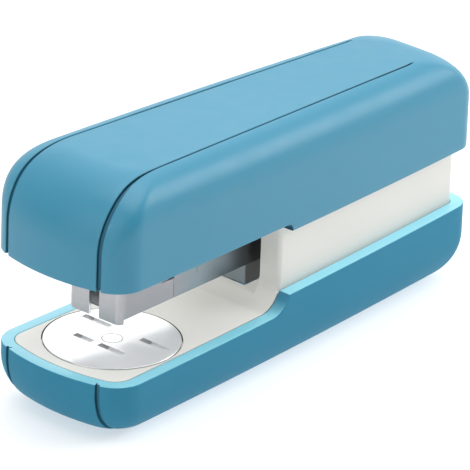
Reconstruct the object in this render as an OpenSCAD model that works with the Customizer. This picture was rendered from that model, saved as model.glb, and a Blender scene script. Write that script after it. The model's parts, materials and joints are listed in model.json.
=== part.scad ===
// Desktop full-strip stapler, worked by hand.
// X is across, -Y is the front where the staple leaves, +Z is up, and the table is Z = 0.

/* [Overall] */
// Length of the top cover, front to back
body_len = 141.2; // [138:0.2:146]
// Widest half-width of the boat-shaped body
half_w = 21.25; // [20.8:0.05:22]
// How strongly the sides draw in towards the rear
side_bow = 0.000225; // [0.0002:0.000005:0.00024]
// Height of the top cover above the table at mid-length
top_z = 63.1; // [62.5:0.1:65]
// Fall of the top towards the rear, per millimetre
top_slope = 0.0366; // [0.02:0.002:0.04]

/* [Base] */
// Height of the front rim of the base
rim_z = 15.4; // [15.2:0.1:15.6]
// Height of the rear rim of the base
rear_rim_z = 19.7; // [19:0.1:20.5]
// Thickness of the base wall at the rim
rim_t = 3.3; // [3:0.1:3.4]
// Width of the decorative grooves at the front
groove_w = 1.4; // [1:0.1:1.8]
// Depth of the decorative grooves
groove_d = 0.8; // [0.5:0.1:1]

/* [Cover] */
// Wall thickness of the top cover
cover_t = 2.0; // [1.6:0.1:2.2]
// Height of the lower edge of the cover at the front half
cover_edge_z = 38.45; // [38:0.1:39]
// Height of the lower edge of the cover at the rear half
cover_rear_z = 36.4; // [36:0.1:36.6]

/* [Mechanism] */
// Distance of the hinge axle behind the middle of the length
axle_y = 61.9; // [61:0.1:62]
// Height of the hinge axle
axle_z = 30; // [29.8:0.1:30.2]
// Radius of the hinge axle
axle_r = 2; // [1.8:0.1:2.2]
// Radial clearance of the turning fits
fit = 0.05; // [0.02:0.01:0.1]
// Half-width of the staple magazine
mag_hw = 8.2; // [8.1:0.05:8.3]
// Height of the underside of the magazine
mag_z = 24.9; // [24.8:0.1:25.2]
// Leg length of the staples
staple_leg = 6; // [5.5:0.5:6]

/* [Anvil] */
// Radius of the turning anvil disc
anvil_r = 16.7; // [16:0.1:17]
// Distance of the anvil centre from the middle of the length, towards the front
anvil_y = -46.6; // [-47:0.1:-46]
// Distance of the clinch grooves from the anvil centre
clinch_y = 4.6; // [4.4:0.1:4.8]

/* [Hidden] */
$fn = 48;
e = 0.01;

// Plan outline
y_front = -body_len / 2;
y_rear = body_len / 2;
base_front = y_front + 0.7;
bow_y = -87;
front_bow = 0.0098;
rear_bow = 0.003;
front_corner = 8.4;
rear_corner = 6;

// Base heights
tub_bottom = 0.8;
tub_floor = 2.8;
tub_round = [6.6, 10.4, 8.6, 12];
tub_inner_round = [5.5, 8.2, 7, 8.2];
base_groove_x = 14.5;
sole_t = 1.3;
inner_gap = 0.15;
step_r = 6.7;
step_y = -4.6;
step_rise = rear_rim_z - rim_z;
step_start = step_y - sqrt(step_r * step_r - pow(step_r - step_rise, 2));
plate_z = 11.2;
plate_t = 1.2;
floor_under = plate_z + plate_t;
sill_z = 17.45;
sill_back = 9;
opening_hw = 10.05;
inner_wall = 1.6;
inner_inset = rim_t + inner_gap;
inner_top = 40;
inner_top_slope = 0.047;
screw_spots = [[-7.5, -24], [7.5, -24], [-5, 42], [5, 42]];
screw_r = 1.4;
bracket_spots = [[-5, 52], [5, 52], [-5, 59], [5, 59]];
rivet_r = 1.25;
rivet_head_r = 2.2;
rivet_head_t = 0.6;

// Cover: how far its roundings reach in and down, at the side, the front and the rear
cover_round = [7.8, 10.4, 17.2, 17, 14.3];
edge_slope = 0.0203;
rear_edge_slope = 0.0175;
notch_y = -4.15;
notch_run = 2.3;
notch_turn = 85;

// Anvil
anvil_top = 15.57;
anvil_t = 1.5;
clinch_depth = 0.5;
pivot_r = 2.35;

// Magazine
mag_t = 0.8;
mag_top = 33.4;
mag_front = -34.15;
mag_rivet_y = [-25, 46];
mag_rivet_z = 29.5;
mag_rivet_r = 1;
block_rivet_y = [-2, 4.5];
block_rivet_r = 0.9;
nose_front = -53.4;
nose_z = 23.8;
nose_t = 0.8;
nose_r = 1.5;
nose_back = -34.25;
nose_slot = 1.6;
channel_front = -50.6;
liner_hw = 7.35;
liner_t = 0.6;
liner_z = mag_z + 0.65;
strip_z = liner_z + 0.65;
strip_hw = 6.35;
wire = 0.5;
strip_len = 50;
crown_z = strip_z + staple_leg + wire;
rail_hw = 5.6;
rail_top = crown_z - wire - 0.15;
rail_end = 55;
pusher_y = channel_front + strip_len + 0.15;
pusher_len = 10;
rod_z = 28.9;
rod_r = 1;
block_hw = 5.1;
block_y = -4.4;
block_len = 11;
block_z = 17.6;
well_gap = 0.35;

// Handle
arm_in = 8.5;
arm_t = 0.8;
arm_z = 42;
arm_top = arm_z + 1.2;
arm_front = -49;
arm_back = axle_y - 12;
blade_y = -51.6;
blade_t = 0.5;
blade_z = crown_z + 0.2;
cover_screw_y = [-28, 30];
blade_rivet_x = [-4, 4];
leaf_rivet_y = [12, 18];
frame_rivet_r = 1;
frame_rivet_head = 0.5;
frame_low = 34.5;

// Bracket
bracket_in = 9.6;
bracket_t = 0.8;
axle_half = 10.9;
clip_x = 10.45;
clip_t = 0.3;
clip_r = 2.9;

BLUE = [0.36, 0.64, 0.74];
CREAM = [0.88, 0.87, 0.84];
STEEL = [0.7, 0.71, 0.72];
DARK_STEEL = [0.45, 0.46, 0.48];
CHROME = [0.86, 0.87, 0.88];
BLACK = [0.16, 0.17, 0.18];

// ---- Outlines and shells ----

function wall_x(y) = half_w - side_bow * pow(y - bow_y, 2);
function top_at(y) = top_z - top_slope * y;
function mix(a, b, t) = a + (b - a) * t;
function smooth(t) = t * t * (3 - 2 * t);

// Right half of a level outline, from the front centre to the rear centre.
// Each point carries its share of front (0 side, 1 front) and of rear (0 side, 1 rear).
function half_outline(side, front, rear, yf, rf, rr) = let (
    f_edge = yf + front,
    cy_guess = f_edge + rf + 1.5,
    cx = wall_x(cy_guess) - side - rf,
    tilt = atan(2 * front_bow * (cx + rf * 0.24)),
    x_t = cx + rf * sin(tilt),
    cy = f_edge + front_bow * x_t * x_t + rf * cos(tilt),
    r_edge = y_rear - rear,
    rx = wall_x(r_edge - rr) - side - rr,
    ry = r_edge - rear_bow * rx * rx - rr
) concat(
    [for (i = [0:5]) let (x = x_t * i / 6) [x, f_edge + front_bow * x * x, 1, 0]],
    [for (i = [0:8]) let (a = -90 + tilt + (90 - tilt) * i / 8)
        [cx + rf * cos(a), cy + rf * sin(a), 1 - smooth(i / 8), 0]],
    [for (i = [1:9]) let (y = mix(cy, ry, i / 10)) [wall_x(y) - side, y, 0, 0]],
    [for (i = [0:6]) let (a = 4 + 86 * i / 6)
        [rx + rr * cos(a), ry + rr * sin(a), 0, smooth(i / 6)]],
    [for (i = [1:3]) let (x = rx * (1 - i / 3)) [x, r_edge - rear_bow * x * x, 0, 1]]
);

// Whole outline, closed, without repeating the two centre points
function full_outline(half) = concat(
    half,
    [for (i = [len(half) - 2:-1:1]) [-half[i][0], half[i][1], half[i][2], half[i][3]]]
);

// Closed solid through a stack of rings with the same number of points each
module skin(rings) {
    n = len(rings[0]);
    m = len(rings);
    points = [for (r = rings) each r];
    walls = [for (k = [0:m - 2], i = [0:n - 1]) let (j = (i + 1) % n)
        each [[k * n + i, (k + 1) * n + i, (k + 1) * n + j], [k * n + i, (k + 1) * n + j, k * n + j]]];
    lower = [[for (i = [0:n - 1]) i]];
    upper = [[for (i = [n - 1:-1:0]) (m - 1) * n + i]];
    polyhedron(concat(points), concat(walls, lower, upper), convexity = 4);
}

// Plain upright solid of the plan outline
module outline_solid(inset, z0, z1, yf = base_front) {
    half = half_outline(inset, inset, inset, yf, front_corner - inset, rear_corner - inset);
    translate([0, 0, z0])
        linear_extrude(z1 - z0)
            polygon([for (p = full_outline(half)) [p[0], p[1]]]);
}

// Cover skin: upright walls that roll over into the sloping top
module cover_solid(inset, z0) {
    side_a = cover_round[0];
    side_b = cover_round[1];
    front_a = cover_round[2];
    front_b = cover_round[3];
    rear_a = cover_round[4];
    rear_b = cover_round[4];
    function ring(t, z) = let (
        c = 1 - cos(t),
        s = 1 - sin(t),
        half = half_outline(inset + (side_a - inset) * c, inset + (front_a - inset) * c,
            inset + (rear_a - inset) * c, y_front,
            front_corner - inset - 0.2 * c, rear_corner - inset + 3 * c)
    ) [for (p = full_outline(half)) let (
        b = side_b + (front_b - side_b) * p[2] + (rear_b - side_b) * p[3] - inset
    ) [p[0], p[1], z == undef ? top_at(p[1]) - inset - b * s : z]];
    skin(concat([ring(0, z0)], [for (t = [0:10:90]) ring(t, undef)]));
}

// Tub skin: rounded boat bottom and upright walls
// Rounding is given as [in from the side, up the side, in from the end, up the end]
module tub_solid(inset, z0, rounding) {
    function ring(t, z) = let (
        c = 1 - cos(t),
        s = 1 - sin(t),
        end_in = inset + rounding[2] * c,
        half = half_outline(inset + rounding[0] * c, end_in, end_in,
            base_front, front_corner - inset, rear_corner - inset)
    ) [for (p = full_outline(half)) let (
        b = mix(rounding[1], rounding[3], p[2] + p[3])
    ) [p[0], p[1], z == undef ? z0 + b * s : z]];
    skin(concat([for (t = [90:-15:0]) ring(t, undef)], [ring(0, 30)]));
}

// Solid across the whole width from a profile drawn in the Y-Z plane
module across(half_width) {
    translate([-half_width, 0, 0])
        rotate([90, 0, 90])
            linear_extrude(2 * half_width)
                children();
}

// Points of the concave step, from its foot to a rise of h
function step_arc(z, r, h) = let (a_end = acos((r - h) / r))
    [for (i = [0:8]) let (a = a_end * i / 8)
        [step_y - r * sin(a_end) + r * sin(a), z + r * (1 - cos(a))]];

module bore_x(y, z, r, half) {
    translate([-half, y, z])
        rotate([0, 90, 0])
            cylinder(r = r, h = 2 * half);
}

module pair() {
    children();
    mirror([1, 0, 0])
        children();
}

// Coil spring along +Z with flat wire section of few sides
module coil(r, wire_r, turns, height) {
    per_turn = 12;
    sides = 6;
    steps = turns * per_turn;
    function ring(k) = let (a = 360 * k / per_turn, z = wire_r + (height - 2 * wire_r) * k / steps)
        [for (i = [0:sides - 1]) let (b = 360 * i / sides)
            [(r + wire_r * cos(b)) * cos(a), (r + wire_r * cos(b)) * sin(a), z + wire_r * sin(b)]];
    skin([for (k = [0:steps]) ring(steps - k)]);
}

// ---- Base ----

module base_tub() {
    color(BLUE)
    difference() {
        tub_solid(0, tub_bottom, tub_round);
        difference() {
            tub_solid(rim_t, tub_floor, tub_inner_round);
            for (s = screw_spots)
                translate([s[0], s[1], 0])
                    cylinder(r = 3.2, h = plate_z);
            translate([0, block_y + block_len / 2, 0])
                cylinder(r = 2.4, h = tub_floor + 2);
        }
        above_rim();
        base_grooves();
        sole_outline(-e, sole_t, 0);
        for (s = screw_spots)
            translate([s[0], s[1], 0]) {
                cylinder(r = screw_r + 0.2, h = 12);
                cylinder(r = 3, h = 3.4);
            }
    }
}

// Everything above the rim: level at the front, a concave step, then level to the rear
module above_rim() {
    across(40)
        polygon(concat([[-90, rim_z]], step_arc(rim_z, step_r, step_rise),
            [[90, rear_rim_z], [90, 60], [-90, 60]]));
}

module base_grooves() {
    difference() {
        pair()
            translate([base_groove_x - groove_w / 2, -80, 0])
                cube([groove_w, 26, 30]);
        tub_solid(groove_d, tub_bottom + groove_d, [for (r = tub_round) r - groove_d]);
    }
}

// Outline of the sole pad, kept inside the rounded bottom
module sole_outline(z0, z1, gap) {
    inset = 9.4 + gap;
    half = half_outline(inset, 16 + gap, 16 + gap, base_front, 4, 3);
    translate([0, 0, z0])
        linear_extrude(z1 - z0)
            polygon([for (p = full_outline(half)) [p[0], p[1]]]);
}

module rubber_sole() {
    color(BLUE)
        difference() {
            sole_outline(0, sole_t, 0.1);
            for (y = [-36, -12, 12, 36])
                translate([-7, y, -e])
                    cube([14, 1.2, 0.5]);
        }
}

module inner_body() {
    color(CREAM)
    difference() {
        intersection() {
            outline_solid(inner_inset, floor_under, 60);
            across(30)
                polygon(concat([[-80, floor_under], [-80, rim_z]],
                    step_arc(rim_z, step_r, step_r - e),
                    [[step_y + 0.5, inner_top], [80, inner_top - inner_top_slope * 84],
                    [80, floor_under]]));
        }
        // Chamber for the magazine, open at the top and the bottom behind the sill
        intersection() {
            outline_solid(inner_inset + inner_wall, 0, 60);
            translate([-30, sill_back, floor_under - 1])
                cube([60, 100, 60]);
        }
        intersection() {
            outline_solid(inner_inset + inner_wall, 0, 60);
            translate([-30, step_y + 1.8, sill_z])
                cube([60, 60, 60]);
        }
        // Opening between the two cheeks, with the raised sill as its lower edge
        translate([-opening_hw, step_y - step_r, sill_z])
            cube([2 * opening_hw, 30, 60]);
        // Well for the lift block
        translate([-block_hw - well_gap, block_y - well_gap, 0])
            cube([2 * (block_hw + well_gap), block_len + 2.6, 30]);
        // Seat and hole for the anvil
        translate([0, anvil_y, anvil_top - anvil_t - 0.25])
            cylinder(r = anvil_r + 0.35, h = 5, $fn = 96);
        translate([0, anvil_y, 0])
            cylinder(r = 5.5, h = 20);
        for (s = screw_spots)
            translate([s[0], s[1], 0])
                cylinder(r = screw_r, h = 14.6);
    }
    color(CREAM)
        rear_bosses();
}

// Crossbar over the chassis, with the bosses of the two rear screws
module rear_bosses() {
    bar_y = screw_spots[2][1];
    difference() {
        union() {
            intersection() {
                translate([-20, bar_y - 1, floor_under])
                    cube([40, 2, 7]);
                outline_solid(inner_inset + inner_wall - 0.1, 0, 60);
            }
            for (i = [2, 3])
                translate([screw_spots[i][0], bar_y, floor_under])
                    cylinder(r = 3, h = 7);
        }
        for (i = [2, 3])
            translate([screw_spots[i][0], bar_y, 0])
                cylinder(r = screw_r, h = 18);
    }
}

module chassis_plate() {
    color(DARK_STEEL)
    difference() {
        union() {
            translate([-11, anvil_y - 8, plate_z])
                cube([22, axle_y + 4 - anvil_y + 8, plate_t]);
            translate([0, anvil_y - 4, plate_z])
                cylinder(r = 11, h = plate_t);
        }
        translate([-block_hw - 0.7, block_y - 0.8, 0])
            cube([2 * block_hw + 1.4, block_len + 3.2, 20]);
        translate([0, anvil_y, 0])
            cylinder(r = pivot_r + fit, h = 20);
        for (s = screw_spots)
            translate([s[0], s[1], 0])
                cylinder(r = screw_r + 0.2, h = 20);
        for (s = bracket_spots)
            translate([s[0], s[1], 0])
                cylinder(r = rivet_r, h = 20);
    }
}

module hinge_bracket() {
    top = axle_z + 3.2;
    color(STEEL)
    difference() {
        union() {
            translate([-bracket_in - bracket_t, 50, floor_under])
                cube([2 * (bracket_in + bracket_t), 14, 1]);
            pair()
                translate([bracket_in, 0, 0])
                    rotate([90, 0, 90])
                        linear_extrude(bracket_t)
                            union() {
                                polygon([[50, floor_under], [64, floor_under], [axle_y + 3.2, axle_z],
                                    [axle_y - 3.2, axle_z]]);
                                translate([axle_y, axle_z])
                                    circle(r = 3.2);
                            }
        }
        bore_x(axle_y, axle_z, axle_r, 20);
        for (s = bracket_spots)
            translate([s[0], s[1], 0])
                cylinder(r = rivet_r, h = 20);
    }
}

module bracket_rivets() {
    color(STEEL)
        for (s = bracket_spots)
            translate([s[0], s[1], plate_z - rivet_head_t]) {
                cylinder(r = rivet_r, h = plate_t + 1 + 2 * rivet_head_t);
                cylinder(r = rivet_head_r, h = rivet_head_t);
                translate([0, 0, plate_t + 1 + rivet_head_t])
                    cylinder(r = rivet_head_r, h = rivet_head_t);
            }
}

module hinge_axle() {
    color(STEEL)
        difference() {
            bore_x(axle_y, axle_z, axle_r, axle_half);
            pair()
                translate([clip_x, axle_y, axle_z])
                    rotate([0, 90, 0])
                        difference() {
                            cylinder(r = axle_r + 1, h = clip_t);
                            cylinder(r = axle_r - 0.5, h = clip_t);
                        }
        }
}

module axle_clips() {
    color(DARK_STEEL)
        pair()
            translate([clip_x, axle_y, axle_z])
                rotate([0, 90, 0])
                    difference() {
                        cylinder(r = clip_r, h = clip_t);
                        cylinder(r = axle_r - 0.5, h = 3, center = true);
                        translate([0, -1.1, -1])
                            cube([5, 2.2, 3]);
                    }
}

module return_spring() {
    color(STEEL)
        translate([0, block_y + block_len / 2, tub_floor + 0.05])
            coil(3.2, 0.4, 8, block_z + 5.4 - tub_floor);
}

module base_screws() {
    color(DARK_STEEL)
        for (s = screw_spots)
            translate([s[0], s[1], 1.5]) {
                cylinder(r = screw_r, h = 13);
                difference() {
                    cylinder(r = 2.7, h = 1.9);
                    translate([0, 0, -e])
                        cylinder(r = 1.3, h = 1, $fn = 6);
                }
            }
}

// ---- Anvil ----

module anvil_plate() {
    color(CHROME)
    translate([0, anvil_y, anvil_top - anvil_t])
        difference() {
            cylinder(r = anvil_r, h = anvil_t, $fn = 128);
            translate([0, 0, -1])
                cylinder(r = pivot_r, h = 4);
            // Inward clinch: two short pockets that turn the legs in
            pair()
                clinch_pocket(0.4, 7.2, -clinch_y);
            // Outward clinch: two pockets that turn the legs out
            pair()
                clinch_pocket(5.2, 13.4, clinch_y);
        }
}

// Scooped pocket from x0 to x1, deepest at its middle
module clinch_pocket(x0, x1, y) {
    half = (x1 - x0) / 2;
    r = (half * half + clinch_depth * clinch_depth) / (2 * clinch_depth);
    intersection() {
        translate([(x0 + x1) / 2, y + 0.8, anvil_t + r - clinch_depth])
            rotate([90, 0, 0])
                cylinder(r = r, h = 1.6, $fn = 128);
        translate([x0, y - 1, anvil_t - clinch_depth - 0.1])
            cube([x1 - x0, 2, 2]);
    }
}

module anvil_rivet() {
    color(CHROME)
        translate([0, anvil_y, 9])
            difference() {
                cylinder(r = pivot_r, h = anvil_top - 9);
                translate([0, 0, 0.6])
                    difference() {
                        cylinder(r = 4, h = 0.6);
                        cylinder(r = pivot_r - 0.6, h = 0.6);
                    }
            }
}

module anvil_washer() {
    color(STEEL)
        translate([0, anvil_y, 10.3])
            difference() {
                cylinder(r = 4.4, h = plate_z - 10.35);
                cylinder(r = pivot_r + 0.15, h = 4, center = true);
            }
}

module anvil_clip() {
    color(DARK_STEEL)
        translate([0, anvil_y, 9.6])
            difference() {
                cylinder(r = 3.8, h = 0.6);
                cylinder(r = pivot_r - 0.6, h = 3, center = true);
                translate([-1.2, 0, -1])
                    cube([2.4, 5, 3]);
            }
}

// ---- Magazine ----

module magazine_channel() {
    back = axle_y + 3;
    color(STEEL)
    difference() {
        translate([-mag_hw, mag_front, mag_z])
            cube([2 * mag_hw, back - mag_front, mag_top - mag_z]);
        translate([-mag_hw + mag_t, mag_front - 1, mag_z + 0.6])
            cube([2 * (mag_hw - mag_t), back - mag_front + 2, 20]);
        // The floor stops in front of the axle
        translate([-mag_hw - 1, axle_y - 3.2, mag_z - 1])
            cube([2 * mag_hw + 2, 10, 2]);
        bore_x(axle_y, axle_z, axle_r + fit, 20);
        for (y = mag_rivet_y)
            bore_x(y, mag_rivet_z, mag_rivet_r, 20);
        for (y = block_rivet_y)
            translate([0, y, 0])
                cylinder(r = block_rivet_r, h = 60);
    }
}

module nose_plate() {
    color(STEEL)
    difference() {
        union() {
            // Side flanges and front, wrapped round the mouth of the magazine
            difference() {
                nose_block(mag_hw, nose_front, nose_back, nose_r);
                nose_block(mag_hw - nose_t, nose_front + nose_t, nose_back + 1, nose_r - nose_t);
            }
            // Floor that joins the two flanges
            translate([-mag_hw + 0.4, channel_front + 0.1, mag_z])
                cube([2 * mag_hw - 0.8, nose_back - channel_front - 0.1, 0.6]);
        }
        // The underside behind the two feet is level with the magazine
        translate([-20, nose_front + nose_r, nose_z - 5])
            cube([40, 40, mag_z - nose_z + 5]);
        // Step in the rear upper corner of each flange
        pair()
            translate([mag_hw - nose_t - 0.2, nose_back - 4.4, 30.1])
                cube([2, 10, 10]);
        // Slot between the two halves of the front
        translate([-nose_slot, nose_front - 1, 0])
            cube([2 * nose_slot, 2.5, 60]);
    }
}

module nose_block(hw, y0, y1, r) {
    translate([0, 0, nose_z])
        linear_extrude(mag_top - nose_z)
            union() {
                translate([-hw, y0 + r])
                    square([2 * hw, y1 - y0 - r]);
                translate([-hw + r, y0])
                    square([2 * (hw - r), r + e]);
                for (s = [-1, 1])
                    translate([s * (hw - r), y0 + r])
                        circle(r = r);
            }
}

module magazine_liner() {
    front = channel_front;
    back = axle_y - 5;
    color(STEEL)
    difference() {
        translate([-liner_hw, front, liner_z])
            cube([2 * liner_hw, back - front, mag_top - 0.4 - liner_z]);
        translate([-liner_hw + liner_t, front - 1, liner_z + 0.45])
            cube([2 * (liner_hw - liner_t), back - front + 2, 20]);
        for (y = mag_rivet_y)
            bore_x(y, mag_rivet_z, mag_rivet_r, 20);
        for (y = block_rivet_y)
            translate([0, y, 0])
                cylinder(r = block_rivet_r, h = 60);
    }
}

module staple_rail() {
    color(STEEL)
    difference() {
        translate([-rail_hw, channel_front, liner_z + 0.5])
            cube([2 * rail_hw, rail_end - channel_front, rail_top - liner_z - 0.5]);
        // Hollow from below, closed at the front
        translate([-rail_hw + 0.6, channel_front + 0.6, liner_z])
            cube([2 * (rail_hw - 0.6), rail_end - channel_front + 2, rail_top - 0.6 - liner_z]);
        // Slot that the neck of the pusher rides in
        translate([-2.2, pusher_y - 0.5, 20])
            cube([4.4, 100, 20]);
    }
}

module magazine_rivets() {
    color(STEEL) {
        pair()
            for (y = mag_rivet_y)
                translate([liner_hw - 1, y, mag_rivet_z])
                    rotate([0, 90, 0])
                        cylinder(r = mag_rivet_r, h = mag_hw - liner_hw + 1.05);
        for (y = block_rivet_y)
            translate([0, y, mag_z - 0.9])
                cylinder(r = block_rivet_r, h = 2.6);
    }
}

module staple_strip() {
    color([0.75, 0.76, 0.78])
    difference() {
        translate([-strip_hw, channel_front, strip_z])
            cube([2 * strip_hw, strip_len, crown_z - strip_z]);
        translate([-strip_hw + wire, channel_front - 1, strip_z - 1])
            cube([2 * (strip_hw - wire), strip_len + 2, crown_z - wire - strip_z + 1]);
        // Fine seams between one staple and the next
        for (i = [1:24])
            translate([-strip_hw - 1, channel_front + i * 2 - 0.05, crown_z - 0.08])
                cube([2 * strip_hw + 2, 0.1, 1]);
    }
}

module lift_block() {
    color(BLACK)
    difference() {
        translate([-block_hw, block_y, block_z])
            cube([2 * block_hw, block_len, mag_z - block_z]);
        translate([0, block_y + block_len / 2, block_z - 1])
            cylinder(r = 4.1, h = 6.45);
        for (y = block_rivet_y)
            translate([0, y, mag_z - 0.9])
                cylinder(r = block_rivet_r, h = 2);
    }
}

module guide_rod() {
    color(STEEL)
        translate([0, pusher_y + 1.5, rod_z])
            rotate([-90, 0, 0])
                cylinder(r = rod_r, h = rail_end + 1.1 - pusher_y - 1.5);
}

module rod_bracket() {
    color(STEEL)
    difference() {
        translate([-liner_hw + liner_t, rail_end, liner_z + 0.45])
            cube([2 * (liner_hw - liner_t), 1.2, mag_top - 1 - liner_z]);
        translate([0, rail_end - 1, rod_z])
            rotate([-90, 0, 0])
                cylinder(r = rod_r, h = 4);
    }
}

module staple_pusher() {
    under = rail_top - 0.9;
    color(BLACK)
    difference() {
        union() {
            // Saddle that straddles the rail behind the strip
            difference() {
                translate([-strip_hw, pusher_y, strip_z])
                    cube([2 * strip_hw, pusher_len, crown_z + 0.3 - strip_z]);
                translate([-rail_hw - 0.3, pusher_y - 1, 20])
                    cube([2 * rail_hw + 0.6, pusher_len + 2, rail_top + 0.3 - 20]);
            }
            // Neck and hub inside the rail, which carry the spring
            translate([-1.8, pusher_y + 0.3, under - 2])
                cube([3.6, pusher_len - 0.3, crown_z - under + 2]);
            translate([0, pusher_y + 0.3, rod_z])
                rotate([-90, 0, 0])
                    cylinder(r = 2.2, h = pusher_len - 0.3);
        }
        translate([0, pusher_y - 1, rod_z])
            rotate([-90, 0, 0])
                cylinder(r = rod_r + fit, h = pusher_len + 3);
    }
}

module pusher_spring() {
    start = pusher_y + pusher_len + 0.05;
    color(STEEL)
        translate([0, start, rod_z])
            rotate([-90, 0, 0])
                coil(1.7, 0.25, 22, rail_end - start - 0.05);
}

// ---- Handle ----

module top_cover() {
    color(BLUE)
    difference() {
        union() {
            difference() {
                cover_solid(0, 14);
                cover_solid(cover_t, 13);
            }
            notch_ribs();
            for (y = cover_screw_y)
                translate([0, y, arm_top])
                    cylinder(r = 3.4, h = top_at(y) - 1 - arm_top);
        }
        below_edge();
        cover_grooves();
        for (y = cover_screw_y)
            translate([0, y, arm_top - 1])
                cylinder(r = screw_r, h = 9);
    }
}

// Thicker wall where the rear half of the cover steps down
module notch_ribs() {
    pair()
        intersection() {
            translate([10, notch_y - 3, 30])
                cube([20, 6, 14]);
            difference() {
                outline_solid(cover_t - 0.4, 30, 44, y_front);
                outline_solid(rim_t - 0.2, 29, 45, y_front);
            }
        }
}

// Everything below the lower edge of the cover
module below_edge() {
    front_z = cover_edge_z - edge_slope * notch_y;
    drop = front_z - cover_rear_z;
    arch = [for (i = [0:8]) let (a = notch_turn * i / 8)
        [notch_y - notch_run * (1 - sin(a)), front_z - drop * (1 - cos(a)) / (1 - cos(notch_turn))]];
    across(40)
        polygon(concat(
            [[-90, 0], [-90, cover_edge_z + edge_slope * 90]],
            arch,
            [[notch_y, cover_rear_z], [90, cover_rear_z - rear_edge_slope * 90], [90, 0]]));
}

// Half-distance between the two grooves of the cover
function groove_x(y) = 11.6 - 0.0345 * y + 0.75 * exp(-pow((y + 65) / 7, 2));
// The groove is wide on the front face and closes to a fine line on top
function groove_half(y) = mix(groove_w / 2, 0.25, smooth(min(1, max(0, (y + 66) / 18))));

module cover_grooves() {
    ys = [for (y = [-74:3:52]) y];
    difference() {
        pair()
            translate([0, 0, 30])
                linear_extrude(40)
                    polygon(concat(
                        [for (y = ys) [groove_x(y) - groove_half(y), y]],
                        [for (i = [len(ys) - 1:-1:0]) [groove_x(ys[i]) + groove_half(ys[i]), ys[i]]]));
        cover_solid(groove_d, 12);
    }
}

module handle_frame() {
    low = frame_low;
    color(DARK_STEEL)
    difference() {
        union() {
            translate([-arm_in - arm_t, arm_front, arm_z])
                cube([2 * (arm_in + arm_t), arm_back - arm_front, arm_top - arm_z]);
            pair()
                translate([arm_in, 0, 0])
                    rotate([90, 0, 90])
                        linear_extrude(arm_t)
                            union() {
                                polygon([[arm_front, arm_top], [arm_front, low + 4], [arm_front + 4, low],
                                    [axle_y - 22, low], [axle_y - 8, axle_z - 3.1], [axle_y, axle_z - 3.2],
                                    [axle_y + 0.6, axle_z + 3.1], [axle_y - 2, axle_z + 4.1],
                                    [arm_back, arm_top]]);
                                translate([axle_y, axle_z])
                                    circle(r = 3.2);
                            }
        }
        bore_x(axle_y, axle_z, axle_r + fit, 20);
        for (y = cover_screw_y)
            translate([0, y, 30])
                cylinder(r = screw_r + 0.2, h = 20);
        for (x = blade_rivet_x)
            translate([x, arm_front + 2.5, 30])
                cylinder(r = frame_rivet_r, h = 20);
        for (y = leaf_rivet_y)
            translate([0, y, 30])
                cylinder(r = frame_rivet_r, h = 20);
    }
}

module driver_blade() {
    color(CHROME)
    difference() {
        union() {
            translate([-6.15, blade_y, blade_z])
                cube([12.3, blade_t, arm_top + 0.5 - blade_z]);
            translate([-6.15, blade_y, arm_top])
                cube([12.3, arm_front + 5 - blade_y, 0.5]);
        }
        for (x = blade_rivet_x)
            translate([x, arm_front + 2.5, 30])
                cylinder(r = frame_rivet_r, h = 20);
    }
}

module blade_rivets() {
    color(STEEL)
        for (x = blade_rivet_x)
            translate([x, arm_front + 2.5, 0])
                frame_rivet(arm_z - frame_rivet_head, arm_top + 0.5);
}

// Rivet with one flat head that starts at z0 and another that starts at z1
module frame_rivet(z0, z1) {
    for (z = [z0, z1])
        translate([0, 0, z])
            cylinder(r = frame_rivet_r + 0.7, h = frame_rivet_head);
    translate([0, 0, z0])
        cylinder(r = frame_rivet_r, h = z1 - z0 + frame_rivet_head);
}

// Flat spring under the frame; its wide tip rests on the walls of the magazine
module leaf_spring() {
    t = 0.4;
    tip_y = -14;
    tip_len = 3;
    under = mag_top + 0.05;
    color(STEEL)
    difference() {
        union() {
            across(4)
                polygon([[tip_y, under], [tip_y, under + t], [tip_y + 4, under + t], [8, arm_z],
                    [22, arm_z], [22, arm_z - t], [8.2, arm_z - t], [tip_y + 4.2, under]]);
            across(mag_hw - 0.1)
                polygon([[tip_y, under], [tip_y, under + t], [tip_y + tip_len, under + t],
                    [tip_y + tip_len, under]]);
        }
        for (y = leaf_rivet_y)
            translate([0, y, 30])
                cylinder(r = frame_rivet_r, h = 20);
    }
}

module leaf_rivets() {
    color(STEEL)
        for (y = leaf_rivet_y)
            translate([0, y, 0])
                frame_rivet(arm_z - 0.4 - frame_rivet_head, arm_top);
}

module cover_screws() {
    color(DARK_STEEL)
        for (y = cover_screw_y)
            translate([0, y, arm_z - 1.4]) {
                cylinder(r = screw_r, h = 10.4);
                difference() {
                    cylinder(r = 2.7, h = 1.4);
                    translate([0, 0, -e])
                        cylinder(r = 1.3, h = 0.8, $fn = 6);
                }
            }
}

base_tub();
rubber_sole();
inner_body();
chassis_plate();
hinge_bracket();
bracket_rivets();
hinge_axle();
axle_clips();
return_spring();
base_screws();
anvil_plate();
anvil_rivet();
anvil_washer();
anvil_clip();
magazine_channel();
nose_plate();
magazine_liner();
staple_rail();
magazine_rivets();
staple_strip();
lift_block();
guide_rod();
rod_bracket();
staple_pusher();
pusher_spring();
top_cover();
handle_frame();
driver_blade();
blade_rivets();
leaf_spring();
leaf_rivets();
cover_screws();
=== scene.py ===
import json
import math

import bmesh
import bpy
import numpy as np
from mathutils import Matrix, Vector
from mathutils.bvhtree import BVHTree


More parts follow.
